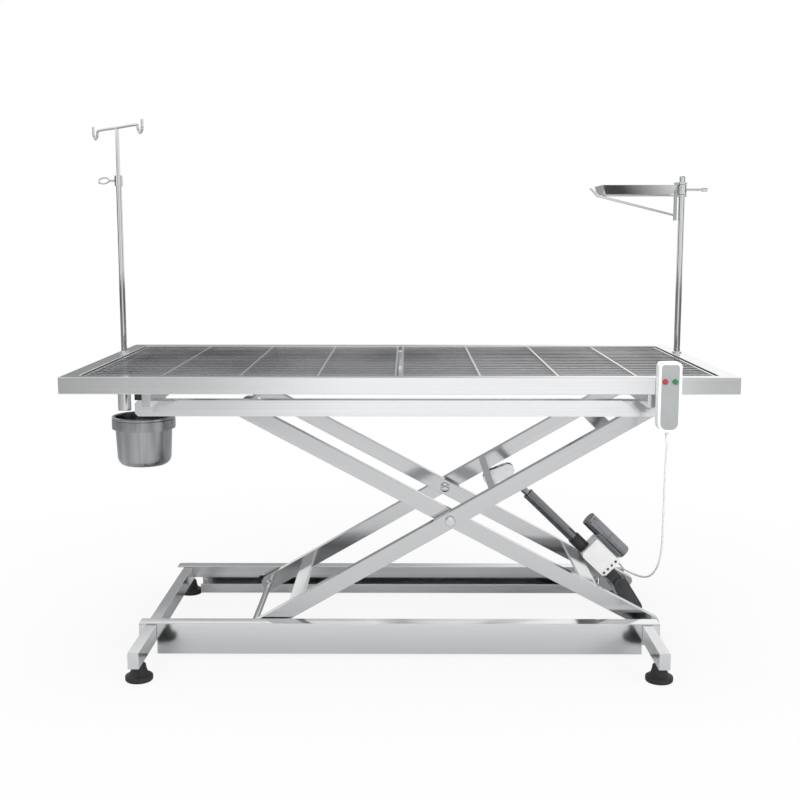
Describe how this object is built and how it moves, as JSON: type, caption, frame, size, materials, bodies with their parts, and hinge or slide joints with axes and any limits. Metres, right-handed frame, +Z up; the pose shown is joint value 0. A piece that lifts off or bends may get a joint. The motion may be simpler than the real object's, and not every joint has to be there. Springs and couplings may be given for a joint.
{
  "type": "veterinary exam table",
  "caption": "Scissor-lift exam table with a grated wet top over a drain pan, a drain pail, a drip pole, an instrument tray on a pole, and an electric actuator with a hand pendant.",
  "frame": {"origin": "on the floor, at the middle of the bounding box seen from above", "axes": "+X to the end with the instrument tray and pendant, +Y to the back, away from the pendant, +Z up"},
  "size_m": [1.2984, 0.666, 1.025],
  "materials": {
    "steel": "polished and brushed stainless steel",
    "dark_metal": "black paint, satin",
    "dark_plastic": "black, matte",
    "rubber": "dark rubber, matte",
    "white_plastic": "white, semi-gloss",
    "grey_plastic": "grey, matte",
    "red_plastic": "red, semi-gloss",
    "green_plastic": "green, semi-gloss",
    "cord": "white flexible PVC"
  },
  "bodies": {
    "base": {"base_rail_front": "steel", "base_rail_back": "steel", "cross_tube_left": "steel", "cross_tube_right_front": "steel", "cross_tube_right_back": "steel", "base_shaft": "steel", "actuator_bracket": "dark_metal"},
    "foot_fl": {"foot_front_left": "rubber"},
    "foot_fr": {"foot_front_right": "rubber"},
    "foot_bl": {"foot_back_left": "rubber"},
    "foot_br": {"foot_back_right": "rubber"},
    "inner": {"arm_inner_front": "steel", "arm_inner_back": "steel", "inner_plate": "steel", "axle_high": "steel"},
    "outer": {"arm_outer_front": "steel", "arm_outer_back": "steel", "outer_plate_low": "steel", "outer_plate_high": "steel", "outer_plate_clevis": "steel", "axle_low": "steel", "middle_bolt_front": "steel", "middle_bolt_back": "steel"},
    "wheel_lf": {"roller_low_front": "dark_plastic"},
    "wheel_lb": {"roller_low_back": "dark_plastic"},
    "wheel_hf": {"roller_high_front": "dark_plastic"},
    "wheel_hb": {"roller_high_back": "dark_plastic"},
    "barrel": {"gear_housing": "white_plastic", "motor_can": "dark_metal", "actuator_tube": "steel", "tube_sleeve": "dark_plastic", "rear_eye": "dark_metal"},
    "rod": {"actuator_rod": "steel"},
    "top": {"top_frame": "steel", "drain_pan": "steel", "cross_beam_left": "steel", "cross_beam_right": "steel", "upper_rail_front": "steel", "upper_rail_back": "steel", "rail_block_front": "dark_plastic", "rail_block_back": "dark_plastic", "pail_ring": "steel", "iv_tube": "steel", "tray_pole": "steel", "pendant_holder": "steel", "pendant_cord_high": "cord"},
    "cord_rise": {"pendant_cord_low": "cord"},
    "grate_l": {"grate_left": "steel"},
    "grate_r": {"grate_right": "steel"},
    "pail_body": {"pail": "steel"},
    "drip_rod": {"iv_rod": "steel"},
    "drip_screw": {"iv_thumbscrew": "steel"},
    "clamp": {"tray_clamp": "steel"},
    "clamp_knob": {"tray_knob": "steel"},
    "swing_arm": {"tray_arm": "steel"},
    "tray_body": {"tray": "steel"},
    "pendant": {"pendant_body": "white_plastic", "pendant_face": "grey_plastic"},
    "red": {"button_red": "red_plastic"},
    "green": {"button_green": "green_plastic"}
  },
  "joints": [
    {"name": "lift", "type": "hinge", "parent": "base", "child": "inner", "pos_m": [0.49133, 0.028, 0.0385], "axis": [0, 1, 0], "range_deg": [-12, 10], "deforming": ["pendant_cord_low"]},
    {"name": "scissor_cross", "type": "hinge", "parent": "inner", "child": "outer", "pos_m": [0.1079, 0.028, 0.25898], "axis": [0, 1, 0], "range_deg": [-20.1, 24.1]},
    {"name": "top_level", "type": "hinge", "parent": "outer", "child": "top", "pos_m": [0.49133, 0.028, 0.47946], "axis": [0, 1, 0], "range_deg": [-12.1, 10.1]},
    {"name": "actuator_tilt", "type": "hinge", "parent": "base", "child": "barrel", "pos_m": [0.46532, 0.028, 0.088], "axis": [0, 1, 0], "range_deg": [-17.4, 14.5]},
    {"name": "actuator_stroke", "type": "slide", "parent": "barrel", "child": "rod", "axis": [-0.718, 0, 0.696], "range_m": [-0.0488, 0.0407]},
    {"name": "roll_low_front", "type": "hinge", "parent": "outer", "child": "wheel_lf", "pos_m": [-0.27553, 0.028, 0.0385], "axis": [0, 1, 0], "continuous": true},
    {"name": "roll_low_back", "type": "hinge", "parent": "outer", "child": "wheel_lb", "pos_m": [-0.27553, 0.028, 0.0385], "axis": [0, 1, 0], "continuous": true},
    {"name": "roll_high_front", "type": "hinge", "parent": "inner", "child": "wheel_hf", "pos_m": [-0.27553, 0.028, 0.47946], "axis": [0, 1, 0], "continuous": true},
    {"name": "roll_high_back", "type": "hinge", "parent": "inner", "child": "wheel_hb", "pos_m": [-0.27553, 0.028, 0.47946], "axis": [0, 1, 0], "continuous": true},
    {"name": "level_front_left", "type": "slide", "parent": "base", "child": "foot_fl", "axis": [0, 0, 1], "range_m": [-0.006, 0.0045]},
    {"name": "level_front_right", "type": "slide", "parent": "base", "child": "foot_fr", "axis": [0, 0, 1], "range_m": [-0.006, 0.0045]},
    {"name": "level_back_left", "type": "slide", "parent": "base", "child": "foot_bl", "axis": [0, 0, 1], "range_m": [-0.006, 0.0045]},
    {"name": "level_back_right", "type": "slide", "parent": "base", "child": "foot_br", "axis": [0, 0, 1], "range_m": [-0.006, 0.0045]},
    {"name": "grate_left_out", "type": "slide", "parent": "top", "child": "grate_l", "axis": [0, 0, 1], "range_m": [0, 0.08]},
    {"name": "grate_right_out", "type": "slide", "parent": "top", "child": "grate_r", "axis": [0, 0, 1], "range_m": [0, 0.08]},
    {"name": "pail_out", "type": "slide", "parent": "top", "child": "pail_body", "axis": [0, 0, 1], "range_m": [0, 0.035]},
    {"name": "drip_height", "type": "slide", "parent": "top", "child": "drip_rod", "axis": [0, 0, 1], "range_m": [-0.09, 0.06]},
    {"name": "drip_screw_turn", "type": "hinge", "parent": "top", "child": "drip_screw", "pos_m": [-0.57368, 0.158, 0.90796], "axis": [1, 0, 0], "continuous": true},
    {"name": "tray_height", "type": "slide", "parent": "top", "child": "clamp", "axis": [0, 0, 1], "range_m": [-0.19, 0.012]},
    {"name": "clamp_knob_turn", "type": "hinge", "parent": "clamp", "child": "clamp_knob", "pos_m": [0.59632, 0.158, 0.88946], "axis": [1, 0, 0], "continuous": true},
    {"name": "tray_swing", "type": "hinge", "parent": "clamp", "child": "swing_arm", "pos_m": [0.59632, 0.158, 0.88946], "axis": [0, 0, 1], "range_deg": [-100, 100]},
    {"name": "tray_out", "type": "slide", "parent": "swing_arm", "child": "tray_body", "axis": [0, 0, 1], "range_m": [0, 0.06]},
    {"name": "pendant_out", "type": "slide", "parent": "top", "child": "pendant", "axis": [0, 0, 1], "range_m": [0, 0.038], "deforming": ["pendant_cord_high"]},
    {"name": "cord_follow", "type": "slide", "parent": "base", "child": "cord_rise", "axis": [0, 0, 1], "range_m": [-0.162, 0.135]},
    {"name": "press_red", "type": "slide", "parent": "pendant", "child": "red", "axis": [0, 1, 0], "range_m": [0, 0.0015], "stiffness_N_per_m": 800},
    {"name": "press_green", "type": "slide", "parent": "pendant", "child": "green", "axis": [0, 1, 0], "range_m": [0, 0.0015], "stiffness_N_per_m": 800}
  ],
  "couplings": [
    {"joint": "scissor_cross", "follows": "lift", "ratio": -2},
    {"joint": "top_level", "follows": "lift", "ratio": 1},
    {"joint": "actuator_tilt", "follows": "lift", "ratio": 1.4387},
    {"joint": "actuator_stroke", "follows": "lift", "m_per_rad": 0.23239},
    {"joint": "cord_follow", "follows": "lift", "m_per_rad": 0.77}
  ]
}
